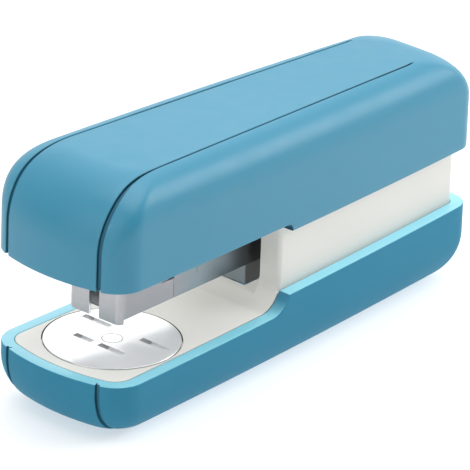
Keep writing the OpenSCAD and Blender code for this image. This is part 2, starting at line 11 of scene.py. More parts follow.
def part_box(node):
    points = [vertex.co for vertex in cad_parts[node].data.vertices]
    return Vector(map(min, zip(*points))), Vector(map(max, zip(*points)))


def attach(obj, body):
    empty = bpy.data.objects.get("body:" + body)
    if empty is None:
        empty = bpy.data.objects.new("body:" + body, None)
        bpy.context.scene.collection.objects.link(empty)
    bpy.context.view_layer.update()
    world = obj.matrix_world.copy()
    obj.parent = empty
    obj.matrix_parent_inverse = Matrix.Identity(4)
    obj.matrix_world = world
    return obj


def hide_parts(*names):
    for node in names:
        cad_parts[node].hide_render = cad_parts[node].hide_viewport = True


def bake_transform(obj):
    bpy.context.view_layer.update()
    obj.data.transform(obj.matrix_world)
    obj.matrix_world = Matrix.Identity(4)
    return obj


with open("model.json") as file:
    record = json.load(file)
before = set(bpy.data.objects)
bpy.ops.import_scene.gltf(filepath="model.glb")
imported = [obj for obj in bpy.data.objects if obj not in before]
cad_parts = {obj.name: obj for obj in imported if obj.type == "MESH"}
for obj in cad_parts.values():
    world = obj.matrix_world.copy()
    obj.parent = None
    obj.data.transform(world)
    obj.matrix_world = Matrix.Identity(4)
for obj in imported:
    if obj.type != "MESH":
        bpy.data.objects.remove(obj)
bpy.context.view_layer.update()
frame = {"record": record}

# Lengths below are in millimetres, in the frame's own axes: -Y is the front, +Z is up.
MM = 0.001

# ---- Driving sizes, read from the frame where it states them ----


def box_mm(node):
    """Low and high corner of a CAD node's box, in millimetres."""
    low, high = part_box(node)
    return np.array(low) / MM, np.array(high) / MM


COVER_LOW, COVER_HIGH = box_mm("top_cover")
TUB_LOW, TUB_HIGH = box_mm("base_tub")
ANVIL_LOW, ANVIL_HIGH = box_mm("anvil_plate")

# Plan outline: half width and bows of the side, the front and the rear, and the corner radii
Y_FRONT = COVER_LOW[1]
Y_REAR = COVER_HIGH[1]
BASE_FRONT = TUB_LOW[1]
HALF_W = 21.25
SIDE_BOW = 0.000225
BOW_Y = -87
FRONT_BOW = 0.0098
REAR_BOW = 0.003
FRONT_CORNER = 8.4
REAR_CORNER = 6.0
CORNER_LEAD = 1.5
CORNER_TILT = 0.24
TOP_Z = 63.1
TOP_SLOPE = 0.0366

# Base: the rim, its step up beside the throat, and the gap to the inner body
RIM_Z = 15.4
REAR_RIM_Z = TUB_HIGH[2]
RIM_T = 3.3
STEP_R = 6.7
STEP_Y = -4.6
INNER_GAP = 0.15
GROOVE_W = 1.2
SILL_Z = 17.45

# Cover: wall thickness, and the lower edge with its arched notch
COVER_T = 2.0
COVER_EDGE_Z = 38.45
COVER_REAR_Z = 36.4
EDGE_SLOPE = 0.0203
REAR_EDGE_SLOPE = 0.0175
NOTCH_Y = -4.15
NOTCH_RUN = 2.3
NOTCH_TURN = math.radians(85)
ARCH_TOP = 39
# Points further out than this across X lie on a side wall
SIDE_X = 15
# Rounding of the cover's lower edge and of the tub's rim, outside and inside
RIM_SOFT = 0.35
THIN_EDGE = 0.15
EDGE_TURNS = np.radians([90, 67.5, 45, 22.5, 0])


# ---- Plan outline ----

# Numbers of points, and the angle at which the rear corner starts
FRONT_STEPS = 26
FRONT_TURN_STEPS = 22
REAR_TURN_STEPS = 14
REAR_STEPS = 12
REAR_TURN_START = 4


def wall_x(y):
    """Half width of the bowed side wall at y."""
    return HALF_W - SIDE_BOW * (y - BOW_Y) ** 2


def top_at(y):
    """Height of the sloping top of the cover at y."""
    return TOP_Z - TOP_SLOPE * y


def smooth(t):
    """Eases from 0 to 1 while t goes from 0 to 1."""
    t = np.clip(t, 0, 1)
    return t * t * (3 - 2 * t)


def half_outline(side, front, rear, y_front, r_front, r_rear, along):
    """Right half of a level outline, front centre to rear centre.

    Columns are x, y, share of the front end, share of the rear end.
    along holds the places of the side points, from 0 at the front corner to 1 at the rear corner.
    """
    edge = y_front + front
    cx = wall_x(edge + r_front + CORNER_LEAD) - side - r_front
    tilt = math.atan(2 * FRONT_BOW * (cx + r_front * CORNER_TILT))
    x_t = cx + r_front * math.sin(tilt)
    cy = edge + FRONT_BOW * x_t ** 2 + r_front * math.cos(tilt)
    r_edge = Y_REAR - rear
    rx = wall_x(r_edge - r_rear) - side - r_rear
    ry = r_edge - REAR_BOW * rx ** 2 - r_rear
    rows = []
    for i in range(FRONT_STEPS):
        x = x_t * i / FRONT_STEPS
        rows.append((x, edge + FRONT_BOW * x * x, 1, 0))
    for i in range(FRONT_TURN_STEPS + 1):
        t = i / FRONT_TURN_STEPS
        a = -math.pi / 2 + tilt + (math.pi / 2 - tilt) * t
        rows.append((cx + r_front * math.cos(a), cy + r_front * math.sin(a), 1 - smooth(t), 0))
    for s in along:
        y = cy + (ry - cy) * s
        rows.append((wall_x(y) - side, y, 0, 0))
    for i in range(REAR_TURN_STEPS + 1):
        t = i / REAR_TURN_STEPS
        a = math.radians(REAR_TURN_START + (90 - REAR_TURN_START) * t)
        rows.append((rx + r_rear * math.cos(a), ry + r_rear * math.sin(a), 0, smooth(t)))
    for i in range(1, REAR_STEPS + 1):
        x = rx * (1 - i / REAR_STEPS)
        rows.append((x, r_edge - REAR_BOW * x * x, 0, 1))
    return np.array(rows, float)


def closed(half):
    """Whole outline from its right half, without repeating the two centre points."""
    left = half[-2:0:-1].copy()
    left[:, 0] *= -1
    return np.vstack([half, left])


# ---- Meshes from rings ----


class Shell:
    """Closed surface made of rings with the same number of points, capped across at both ends."""

    def __init__(self):
        self.points = []
        self.faces = []
        self.rings = []

    def ring(self, xyz):
        start = len(self.points)
        self.points.extend(map(tuple, xyz))
        index = np.arange(start, start + len(xyz))
        if self.rings:
            last = self.rings[-1]
            for a, b, c, d in zip(last, np.roll(last, -1), np.roll(index, -1), index):
                self.faces.append((a, b, c, d))
        self.rings.append(index)

    def close(self, name):
        """Caps both ends and makes the object."""
        self.cap(0)
        self.cap(-1)
        return make_object(name, self.points, self.faces)

    def cap(self, which):
        """Closes an end, which lies in one plane, with a single face."""
        self.faces.append(tuple(self.rings[which]))


def make_object(name, points, faces, marks=None):
    """Object from points in millimetres, with all faces turned outwards; marks are material indices."""
    mesh = bpy.data.meshes.new(name)
    mesh.from_pydata([tuple(c * MM for c in p) for p in points], [], faces)
    if marks:
        mesh.polygons.foreach_set("material_index", marks)
    bm = bmesh.new()
    bm.from_mesh(mesh)
    bmesh.ops.remove_doubles(bm, verts=bm.verts, dist=1e-7)
    bmesh.ops.recalc_face_normals(bm, faces=bm.faces)
    bm.to_mesh(mesh)
    bm.free()
    piece = bpy.data.objects.new(name, mesh)
    bpy.context.scene.collection.objects.link(piece)
    return piece


def shade(piece, degrees=32):
    """Smooth shading with sharp edges where faces meet at more than the angle."""
    bm = bmesh.new()
    bm.from_mesh(piece.data)
    limit = math.radians(degrees)
    for f in bm.faces:
        f.smooth = True
    for e in bm.edges:
        e.smooth = not e.is_manifold or len(e.link_faces) != 2 or e.calc_face_angle(0) < limit
    bm.to_mesh(piece.data)
    bm.free()


def cut(piece, tool, operation="DIFFERENCE"):
    """Applies a boolean and removes the tool. New faces keep the tool's material indices."""
    mod = piece.modifiers.new("cut", "BOOLEAN")
    mod.operation = operation
    mod.solver = "EXACT"
    mod.object = tool
    apply_modifiers(piece)
    bpy.data.objects.remove(tool)


def apply_modifiers(piece):
    """Turns the piece's modifiers into its mesh."""
    graph = bpy.context.evaluated_depsgraph_get()
    mesh = bpy.data.meshes.new_from_object(piece.evaluated_get(graph))
    piece.modifiers.clear()
    piece.data = mesh


def dress(piece, *materials):
    """Gives the piece its list of materials. It comes before the cuts that mark faces with their indices."""
    piece.data.materials.clear()
    for material in materials:
        piece.data.materials.append(material)


# ---- Cover ----

# Elliptical roll of the side, the front and the rear: how far in, and how far down
SIDE_A, SIDE_B = 7.8, 10.4
FRONT_A, FRONT_B = 17.2, 17.0
REAR_A, REAR_B = 14.3, 14.3
# How much the corner radii change between the wall and the top
FRONT_CORNER_SHRINK = 0.2
REAR_CORNER_GROWTH = 3
COVER_SIDE = (-59.7, 62.5)
SIDE_STEPS = 70
EDGE_EASE = 4
# Thicker stretch of the wall beside the notch
LIP_T = 1.3
LIP_Y = NOTCH_Y - 1.2
LIP_REACH = 4
LIP_FLAT = 1.4
LIP_HEIGHT = 5
LIP_TOP = 7


def side_places(cy, ry, marks):
    """Places along the side for the y values in marks, with even fill between them."""
    ys = sorted(set(list(np.linspace(cy, ry, SIDE_STEPS)[1:-1]) + [m for m in marks if cy < m < ry]))
    return [(y - cy) / (ry - cy) for y in ys]


def notch_marks():
    """Values of y that the arch of the cover's lower edge needs."""
    turns = np.linspace(0, NOTCH_TURN, 26)
    return list(NOTCH_Y - NOTCH_RUN * (1 - np.sin(turns))) + [NOTCH_Y + v for v in (0.001, 0.25, 0.6)]


def cover_edge(y):
    """Height of the cover's lower edge: level, an arched step down, then level."""
    front = COVER_EDGE_Z - EDGE_SLOPE * y
    rear = COVER_REAR_Z - REAR_EDGE_SLOPE * y
    step = COVER_EDGE_Z - EDGE_SLOPE * NOTCH_Y
    turn = np.arcsin(np.clip(1 - (NOTCH_Y - y) / NOTCH_RUN, 0, math.sin(NOTCH_TURN)))
    arch = (1 - np.cos(turn)) / (1 - math.cos(NOTCH_TURN))
    inside = step - (step - COVER_REAR_Z) * arch
    start = NOTCH_Y - NOTCH_RUN
    rise = step - (COVER_EDGE_Z - EDGE_SLOPE * start)
    ahead = front + rise * smooth((y - start + EDGE_EASE) / EDGE_EASE)
    return np.where(y <= start, ahead, np.where(y <= NOTCH_Y, inside, rear))


def cover_ring(inset, turn, along):
    """Ring of the cover skin; turn is 0 at the upright wall and 90 at the top."""
    c = 1 - math.cos(math.radians(turn))
    s = 1 - math.sin(math.radians(turn))
    side, front, rear = (inset + (reach - inset) * c for reach in (SIDE_A, FRONT_A, REAR_A))
    half = half_outline(side, front, rear, Y_FRONT, FRONT_CORNER - inset - FRONT_CORNER_SHRINK * c,
                        REAR_CORNER - inset + REAR_CORNER_GROWTH * c, along)
    p = closed(half)
    b = SIDE_B + (FRONT_B - SIDE_B) * p[:, 2] + (REAR_B - SIDE_B) * p[:, 3] - inset
    z = top_at(p[:, 1]) - inset - b * s
    return np.column_stack([p[:, 0], p[:, 1], z])


def plan_normals(xy):
    """Outward unit normals of a closed outline in plan."""
    d = np.roll(xy, -1, axis=0) - np.roll(xy, 1, axis=0)
    n = np.column_stack([d[:, 1], -d[:, 0]])
    n /= np.linalg.norm(n, axis=1)[:, None]
    if np.sum(n * (xy - xy.mean(axis=0))) < 0:
        n = -n
    return n


def rounded_rim(shell, xy, normal, z, radius, turns):
    """Adds rings round the outer corner of a rim; a turn of 90 degrees is the rim's own level."""
    for a in turns:
        ring = xy - normal * radius * (1 - math.cos(a))
        shell.ring(np.column_stack([ring, z(radius * (1 - math.sin(a)))]))


def cover_shell():
    along = side_places(*COVER_SIDE, notch_marks())
    turns = np.linspace(0, 90, 31)
    shell = Shell()
    inner = [cover_ring(COVER_T, t, along) for t in turns[::-1]]
    outer = [cover_ring(0, t, along) for t in turns]
    # Inside, from the ceiling down to the lower edge
    for row in inner:
        shell.ring(row)
    wall_in = inner[-1].copy()
    wall_out = outer[0]
    z_edge = cover_edge(wall_out[:, 1])
    normal = plan_normals(wall_out[:, :2])
    near = smooth(LIP_FLAT - np.abs(wall_out[:, 1] - LIP_Y) / LIP_REACH)
    lip = LIP_T * near * (np.abs(wall_out[:, 0]) > SIDE_X)
    lip_xy = wall_in[:, :2] - normal * lip[:, None]
    shell.ring(np.column_stack([wall_in[:, :2], z_edge + LIP_TOP]))
    shell.ring(np.column_stack([lip_xy, z_edge + LIP_HEIGHT]))
    shell.ring(np.column_stack([lip_xy, z_edge + THIN_EDGE]))
    shell.ring(np.column_stack([lip_xy + normal * THIN_EDGE, z_edge]))
    rounded_rim(shell, wall_out[:, :2], normal, lambda rise: z_edge + rise, RIM_SOFT, EDGE_TURNS)
    for t in (0.15, 0.4, 0.7, 0.9):
        shell.ring(np.column_stack([wall_out[:, :2], z_edge + (wall_out[:, 2] - z_edge) * t]))
    for row in outer:
        shell.ring(row)
    return shell.close("cover_shell")


# ---- Grooves of the cover and the base ----

# Material indices: 1 is the groove's painted shade, a darker blue, on the cover and on the tub
GROOVE_SHADE_MARK = 1
GROOVE_X = 11.7
GROOVE_SLANT = 0.0345
FLARE, FLARE_Y, FLARE_RUN = 0.75, -65, 7
FINE_HALF, FINE_FROM, FINE_RUN = 0.25, -66, 18
# Profile: softened mouth, shallow ledge, deep slit, and the lift that ends the groove
GROOVE_SOFT = 0.16
GROOVE_LEDGE, GROOVE_DEEP = -0.62, -1.15
GROOVE_SLIT = 0.36
GROOVE_LIFT = 0.4
COVER_FADE, BASE_FADE = 0.02, 0.12
# Rays that find the surface: they fan out about a pivot, and then go straight down along the top
RAY_START, RAY_LENGTH = 60, 59
PIVOT_Y, PIVOT_Z = -52.0, 44.0
COVER_FAN = np.radians(np.linspace(-20, 90, 110))
COVER_RUN = np.linspace(PIVOT_Y + 0.8, 52.0, 70)
COVER_FOOT_Z = 34.0
BASE_FAN = np.radians(np.linspace(20, -88, 60))
BASE_PIVOT = Vector((14.5, -54.0, 12.0))
BASE_HEAD_Z = RIM_Z + 3


def groove_x(y):
    """Distance of the cover's groove from the middle: slanting, and flared at the front."""
    return GROOVE_X - GROOVE_SLANT * y + FLARE * math.exp(-(((y - FLARE_Y) / FLARE_RUN) ** 2))


def groove_half(y):
    """Half width of the cover's groove, which narrows to a fine line on top."""
    return GROOVE_W / 2 + (FINE_HALF - GROOVE_W / 2) * float(smooth((y - FINE_FROM) / FINE_RUN))


def tree_of(piece):
    """Search tree of the piece's surface, in millimetres."""
    mesh = piece.data
    return BVHTree.FromPolygons([v.co / MM for v in mesh.vertices], [p.vertices[:] for p in mesh.polygons])


def facing(normal, direction):
    """The normal, turned to the side that the direction points to."""
    return normal if normal.dot(direction) > 0 else -normal


def cover_path(tree):
    """Points and normals where the groove's upright sheet meets the cover, from front edge to rear."""
    rays = [(PIVOT_Y, Vector((0, -math.cos(a), math.sin(a)))) for a in COVER_FAN]
    rays += [(y, Vector((0, 0, 1))) for y in COVER_RUN]
    hits = []
    for y, direction in rays:
        x = groove_x(y)
        for _ in range(4):
            found = tree.ray_cast(Vector((x, y, PIVOT_Z)) + direction * RAY_START, -direction, RAY_LENGTH)
            if found[0] is None:
                break
            spot, normal = found[0], found[1]
            x = groove_x(spot.y)
        if found[0] is not None:
            hits.append((Vector((x, spot.y, spot.z)), facing(normal, direction)))
    first, normal = hits[0]
    return [(Vector((first.x, first.y, COVER_FOOT_Z)), normal)] + hits


def base_path(tree):
    """Groove of the base: down the front wall from above the rim and under the rounding."""
    hits = []
    for a in BASE_FAN:
        direction = Vector((0, -math.cos(a), math.sin(a)))
        found = tree.ray_cast(BASE_PIVOT + direction * RAY_START, -direction, RAY_LENGTH)
        if found[0] is not None and found[0].z < RIM_Z - 0.6:
            hits.append((found[0], facing(found[1], direction)))
    first, normal = hits[0]
    return [(Vector((first.x, first.y, BASE_HEAD_Z)), normal)] + hits


def sweep_cutter(name, path, profile_at, mirror):
    """Closed tool swept along the path; profile_at gives (across, out) pairs for a share of the length.

    The faces that cut the ledge and the slit carry the index of the groove's painted shade.
    """
    points, faces, marks = [], [], []
    count = len(path)
    sides = len(profile_at(0.0, path[0][0]))
    lengths = np.cumsum([0] + [(path[i + 1][0] - path[i][0]).length for i in range(count - 1)])
    for i, (spot, normal) in enumerate(path):
        ahead = path[min(i + 1, count - 1)][0] - path[max(i - 1, 0)][0]
        ahead.normalize()
        out = (normal - ahead * normal.dot(ahead)).normalized()
        across = ahead.cross(out)
        if across.x < 0:
            across = -across
        for s, n in profile_at(lengths[i] / lengths[-1], spot):
            p = spot + across * s + out * n
            points.append((-p.x if mirror else p.x, p.y, p.z))
    for i in range(count - 1):
        for k in range(sides):
            m = (k + 1) % sides
            faces.append((i * sides + k, i * sides + m, (i + 1) * sides + m, (i + 1) * sides + k))
            marks.append(GROOVE_SHADE_MARK if 0 < k < sides - 2 else 0)
    faces.append(tuple(range(sides)))
    faces.append(tuple(range((count - 1) * sides, count * sides))[::-1])
    return make_object(name, points, faces, marks + [GROOVE_SHADE_MARK, 0])


def groove_profile(half, slit, fade):
    """Two-level profile: a slit beside a shallower ledge; fade goes from 1 to 0 where the groove runs out."""
    lift = GROOVE_LIFT * (1 - fade)
    ledge = GROOVE_LEDGE * fade + lift
    deep = GROOVE_DEEP * fade + lift
    return [(-half - 2 * GROOVE_SOFT, GROOVE_SOFT + lift), (-half, -GROOVE_SOFT + lift), (-half, deep),
            (-half + slit, deep), (-half + slit, ledge), (half, ledge),
            (half, -GROOVE_SOFT + lift), (half + 2 * GROOVE_SOFT, GROOVE_SOFT + lift)]


def cover_groove_profile(share, spot):
    half = groove_half(spot.y)
    return groove_profile(half, min(GROOVE_SLIT, half * 1.1), float(smooth((1 - share) / COVER_FADE)))


def base_groove_profile(share, _spot):
    return groove_profile(GROOVE_W / 2, GROOVE_SLIT, float(smooth((1 - share) / BASE_FADE)))


# ---- Base ----

TUB_BOTTOM, TUB_FLOOR = 0.8, 2.8
# Elliptical roll under the side and under the ends: in, up, in, up
TUB_ROUND = (6.6, 10.4, 8.6, 12.0)
TUB_INNER_ROUND = (5.5, 8.2, 7.0, 8.2)
TUB_SIDE = (-59, 63.4)
SOLE_SIDE, SOLE_END, SOLE_CORNERS = 9.4, 16, (4, 3)
SOLE_SEAT_Z = (-1, 1.3)
STEP_RISE = REAR_RIM_Z - RIM_Z
STEP_TURN = math.acos((STEP_R - STEP_RISE) / STEP_R)
STEP_START = STEP_Y - STEP_R * math.sin(STEP_TURN)


def rim_height(y):
    """Height of the rim: level, a concave step, then level to the rear."""
    s = np.clip(y - STEP_START, 0, STEP_R * math.sin(STEP_TURN))
    rise = STEP_R - np.sqrt(STEP_R ** 2 - s ** 2)
    return RIM_Z + np.where(y >= STEP_Y, STEP_RISE, rise)


def step_marks():
    """Values of y that the step of the rim needs."""
    turns = np.linspace(0, STEP_TURN, 22)
    return list(STEP_START + STEP_R * np.sin(turns)) + [STEP_Y + 0.001, STEP_Y + 0.2, STEP_Y + 0.5]


def tub_ring(inset, z0, rounding, turn, along):
    """Ring of the tub's skin; turn is 90 at the bottom and 0 at the upright wall."""
    c = 1 - math.cos(math.radians(turn))
    s = 1 - math.sin(math.radians(turn))
    side_a, side_b, end_a, end_b = rounding
    end_in = inset + end_a * c
    p = closed(half_outline(inset + side_a * c, end_in, end_in, BASE_FRONT,
                            FRONT_CORNER - inset, REAR_CORNER - inset, along))
    b = side_b + (end_b - side_b) * (p[:, 2] + p[:, 3])
    return np.column_stack([p[:, 0], p[:, 1], z0 + b * s])


def upright_prism(name, xy, z0, z1):
    """Prism between two heights on a closed outline."""
    shell = Shell()
    for z in (z0, z1):
        shell.ring([(x, y, z) for x, y in xy])
    return shell.close(name)


def rod(name, x, y, z0, z1, radius, sides):
    """Upright cylinder used as a tool."""
    turns = [2 * math.pi * i / sides for i in range(sides)]
    return upright_prism(name, [(x + radius * math.cos(a), y + radius * math.sin(a)) for a in turns], z0, z1)


def sole_seat():
    """Tool for the shallow seat of the rubber sole."""
    half = half_outline(SOLE_SIDE, SOLE_END, SOLE_END, BASE_FRONT, *SOLE_CORNERS, np.linspace(0.02, 0.98, 30))
    return upright_prism("sole_seat", closed(half)[:, :2], *SOLE_SEAT_Z)


def tub_shell():
    along = side_places(*TUB_SIDE, step_marks())
    shell = Shell()
    for turn in np.linspace(90, 3.75, 24):
        shell.ring(tub_ring(0, TUB_BOTTOM, TUB_ROUND, turn, along))
    wall = tub_ring(0, TUB_BOTTOM, TUB_ROUND, 0, along)
    inner = tub_ring(RIM_T, TUB_FLOOR, TUB_INNER_ROUND, 0, along)
    normal = plan_normals(wall[:, :2])
    rim = rim_height(wall[:, 1])
    wall[:, 2] = np.minimum(wall[:, 2], rim - RIM_SOFT - 0.2)
    for t in (0, 0.3, 0.7):
        shell.ring(np.column_stack([wall[:, :2], wall[:, 2] + (rim - RIM_SOFT - wall[:, 2]) * t]))
    rounded_rim(shell, wall[:, :2], normal, lambda drop: rim - drop, RIM_SOFT, EDGE_TURNS[::-1])
    shell.ring(np.column_stack([inner[:, :2] + plan_normals(inner[:, :2]) * THIN_EDGE, rim]))
    shell.ring(np.column_stack([inner[:, :2], rim - THIN_EDGE]))
    for turn in np.linspace(0, 90, 9):
        shell.ring(tub_ring(RIM_T, TUB_FLOOR, TUB_INNER_ROUND, turn, along))
    return shell.close("tub_shell")


# ---- Inner body ----

INNER_INSET = RIM_T + INNER_GAP
INNER_WALL = 1.6
INNER_FLOOR = 12.4
INNER_TALL = 60.0
INNER_TOP_Z, INNER_TOP_SLOPE, INNER_TOP_RUN = 40.0, 0.047, 84
CHAMBER_TOP, CHAMBER_REAR = 59, 56
OPENING_DEPTH = 25
OPENING_HW = 10.05
SILL_BACK = 9.0
BLOCK_HW, BLOCK_Y, BLOCK_LEN = 5.1, -4.4, 11.0
WELL_GAP, WELL_SLACK = 0.2, 2.4
SEAT_GAP, SEAT_DROP = 0.35, 0.25
CENTRE_R = 5.5
ANVIL_Y = (ANVIL_LOW[1] + ANVIL_HIGH[1]) / 2
ANVIL_R = (ANVIL_HIGH[0] - ANVIL_LOW[0]) / 2
ANVIL_TOP = ANVIL_HIGH[2]
ANVIL_T = ANVIL_TOP - ANVIL_LOW[2]
SCREW_SPOTS = ((-7.5, -24), (7.5, -24), (-5, 42), (5, 42))
SCREW_TOP, SCREW_R = 14.6, 1.4
ROUNDED_ABOVE_Z, ROUNDED_AHEAD_Y = 13, 20
CHEEK_SOFT, SEAT_SOFT, WELL_SOFT, INNER_SOFT = 1.1, 0.12, 0.15, 0.3
# Edges steeper than this are rounded, and the radius that a bevel weight of 1 stands for
STEEP_EDGE, FULL_WIDTH = math.radians(40), 2.0
OUTLINE_START, OUTLINE_RUN = -60, 125
# Half widths and lengths of tools that reach past the piece
FAR, FAR_Y = 30, 80


def outline_prism(name, inset, z0, z1):
    """Upright prism on the base's outline, set in from it."""
    places = [STEP_Y - 12 - 4 * i for i in range(11)][::-1] + [STEP_Y + 5 + 4.5 * i for i in range(14)]
    half = half_outline(inset, inset, inset, BASE_FRONT, FRONT_CORNER - inset, REAR_CORNER - inset,
                        [(y - OUTLINE_START) / OUTLINE_RUN for y in places])
    return upright_prism(name, closed(half)[:, :2], z0, z1)


def across_prism(name, profile, half_width):
    """Closed prism across X from a profile of (y, z) points."""
    count = len(profile)
    points = [(x, y, z) for x in (-half_width, half_width) for y, z in profile]
    faces = [tuple(range(count)), tuple(range(count, 2 * count))]
    faces += [(i, (i + 1) % count, count + (i + 1) % count, count + i) for i in range(count)]
    return make_object(name, points, faces)


def box(name, low, high):
    """Plain block used as a tool."""
    corners = [(x, y, z) for z in (low[2], high[2]) for y in (low[1], high[1]) for x in (low[0], high[0])]
    return make_object(name, corners, [(0, 1, 3, 2), (4, 6, 7, 5), (0, 4, 5, 1), (2, 3, 7, 6), (0, 2, 6, 4),
                                       (1, 5, 7, 3)])


def step_arc(z, rise, count):
    """Points of the concave step from its foot to a rise above z."""
    turn = math.acos((STEP_R - rise) / STEP_R)
    foot = STEP_Y - STEP_R * math.sin(turn)
    return [(foot + STEP_R * math.sin(turn * i / count), z + STEP_R * (1 - math.cos(turn * i / count)))
            for i in range(count + 1)]


def soften(piece, widths, segments=3, clamp=True):
    """Rounds steep edges; widths is called with an edge's middle and direction in mm and gives its radius."""
    bm = bmesh.new()
    bm.from_mesh(piece.data)
    layer = bm.edges.layers.float.new("bevel_weight_edge")
    for e in bm.edges:
        if len(e.link_faces) == 2 and e.calc_face_angle(0) > STEEP_EDGE:
            a, b = (v.co / MM for v in e.verts)
            e[layer] = widths((a + b) / 2, (b - a).normalized()) / FULL_WIDTH
    bm.to_mesh(piece.data)
    bm.free()
    mod = piece.modifiers.new("soften", "BEVEL")
    mod.limit_method = "WEIGHT"
    mod.width = FULL_WIDTH * MM
    mod.segments = segments
    mod.profile = 0.5
    mod.use_clamp_overlap = clamp
    mod.miter_outer = "MITER_ARC"
    apply_modifiers(piece)


def chamber(y_low, y_high, floor):
    """Tool for the space inside the walls, between two places along Y."""
    tool = outline_prism("chamber", INNER_INSET + INNER_WALL, 0, INNER_TALL)
    cut(tool, box("limit", (-FAR, y_low, floor), (FAR, y_high, CHAMBER_TOP)), "INTERSECT")
    return tool


def inner_rounding(middle, _along):
    """Edge radius for an edge with its middle at the given place."""
    if middle.z < ROUNDED_ABOVE_Z or middle.y > ROUNDED_AHEAD_Y:
        return 0.0
    if abs(middle.z - RIM_Z) < 0.2 and math.hypot(middle.x, middle.y - ANVIL_Y) < ANVIL_R + 1:
        return SEAT_SOFT
    if abs(middle.x) < BLOCK_HW + 0.5 and abs(middle.z - SILL_Z) < 0.2 and middle.y > BLOCK_Y - 1:
        return WELL_SOFT
    return INNER_SOFT


def cheek_rounding(middle, along):
    """Edge radius for the two upright front corners beside the throat, and none elsewhere."""
    upright = abs(along.z) > 0.9
    return CHEEK_SOFT if upright and abs(middle.x) > 14 and abs(middle.y - STEP_Y) < 1.5 else 0.0


def inner_shell():
    body = outline_prism("inner_shell", INNER_INSET, INNER_FLOOR, INNER_TALL)
    below = INNER_FLOOR - 1
    profile = [(-FAR_Y, below), (-FAR_Y, RIM_Z)] + step_arc(RIM_Z, STEP_R - 0.01, 28)
    profile += [(STEP_Y, INNER_TOP_Z), (FAR_Y, INNER_TOP_Z - INNER_TOP_SLOPE * INNER_TOP_RUN), (FAR_Y, below)]
    cut(body, across_prism("profile", profile, FAR), "INTERSECT")
    cut(body, chamber(SILL_BACK, 100, below - 1))
    cut(body, chamber(STEP_Y + 1.8, CHAMBER_REAR, SILL_Z))
    cut(body, box("opening", (-OPENING_HW, STEP_Y - STEP_R, SILL_Z),
                  (OPENING_HW, STEP_Y + OPENING_DEPTH, CHAMBER_TOP)))
    cut(body, box("well", (-BLOCK_HW - WELL_GAP, BLOCK_Y - WELL_GAP, 0),
                  (BLOCK_HW + WELL_GAP, BLOCK_Y + BLOCK_LEN + WELL_SLACK, FAR)))
    cut(body, rod("seat", 0, ANVIL_Y, ANVIL_TOP - ANVIL_T - SEAT_DROP, 20, ANVIL_R + SEAT_GAP, 160))
    cut(body, rod("centre", 0, ANVIL_Y, 0, 20, CENTRE_R, 48))
    for x, y in SCREW_SPOTS:
        cut(body, rod("screw", x, y, 0, SCREW_TOP, SCREW_R, 24))
    soften(body, cheek_rounding, 5, clamp=False)
    soften(body, inner_rounding)
    return body


# ---- Anvil ----

PIVOT_R, PIVOT_GAP = 2.35, 0.02
PIVOT_CHAMFER, PIVOT_CHAMFER_H = 0.3, 0.35
DISC_SOFT, DISC_CHAMFER = 0.28, 0.2
CLINCH_Y = 4.6
# Where each pocket starts and ends across X, and its place along Y from the middle of the disc
CLINCH_POCKETS = ((-13.4, -4.7, CLINCH_Y), (5.2, 14.0, CLINCH_Y), (-7.9, -2.2, -CLINCH_Y),
                  (0.0, 8.0, -CLINCH_Y))
POCKET_HW, POCKET_DEPTH = 0.85, 0.62
# Material indices of the disc: painted shade in a pocket and in the ring round the pivot, and darker painted
# shade at the shaded end of a pocket
POCKET_AND_RING_SHADE_MARK, POCKET_SHADE_MARK = 1, 2


def lathe(name, profile, sides, centre):
    """Closed ring of revolution about the upright axis at centre, from a closed profile of (r, z)."""
    points, faces = [], []
    count = len(profile)
    for i in range(sides):
        a = 2 * math.pi * i / sides
        points += [(centre[0] + r * math.cos(a), centre[1] + r * math.sin(a), z) for r, z in profile]
    for i in range(sides):
        j = (i + 1) % sides
        for k in range(count):
            m = (k + 1) % count
            faces.append((i * count + k, i * count + m, j * count + m, j * count + k))
    return make_object(name, points, faces)


def rounded(centre_r, centre_z, radius, steps=5):
    """Points of an upper outer corner of a profile, rounded about its centre."""
    turns = [math.radians(90 * i / steps) for i in range(steps + 1)]
    return [(centre_r + radius * math.cos(a), centre_z + radius * math.sin(a)) for a in turns]


def anvil_disc():
    low, top = ANVIL_TOP - ANVIL_T, ANVIL_TOP
    bore = PIVOT_R + PIVOT_GAP
    profile = [(bore, top - PIVOT_CHAMFER_H), (bore, low), (ANVIL_R - DISC_CHAMFER, low),
               (ANVIL_R, low + DISC_CHAMFER)]
    profile += rounded(ANVIL_R - DISC_SOFT, top - DISC_SOFT, DISC_SOFT)
    profile += [(PIVOT_R + PIVOT_CHAMFER, top)]
    disc = lathe("anvil_disc", profile, 200, (0, ANVIL_Y))
    dress(disc, CHROME, POCKET_SHADED_STEEL, POCKET_SHADE)
    for x0, x1, y in CLINCH_POCKETS:
        cut(disc, scoop((x0 + x1) / 2, ANVIL_Y + y, (x1 - x0) / 2, POCKET_HW, POCKET_DEPTH))
    # The ring round the pivot gets the pockets' painted shade, a dark gap line
    for face in disc.data.polygons:
        centre = face.center / MM
        if math.hypot(centre.x, centre.y - ANVIL_Y) < PIVOT_R + 0.22:
            face.material_index = POCKET_AND_RING_SHADE_MARK
    return disc


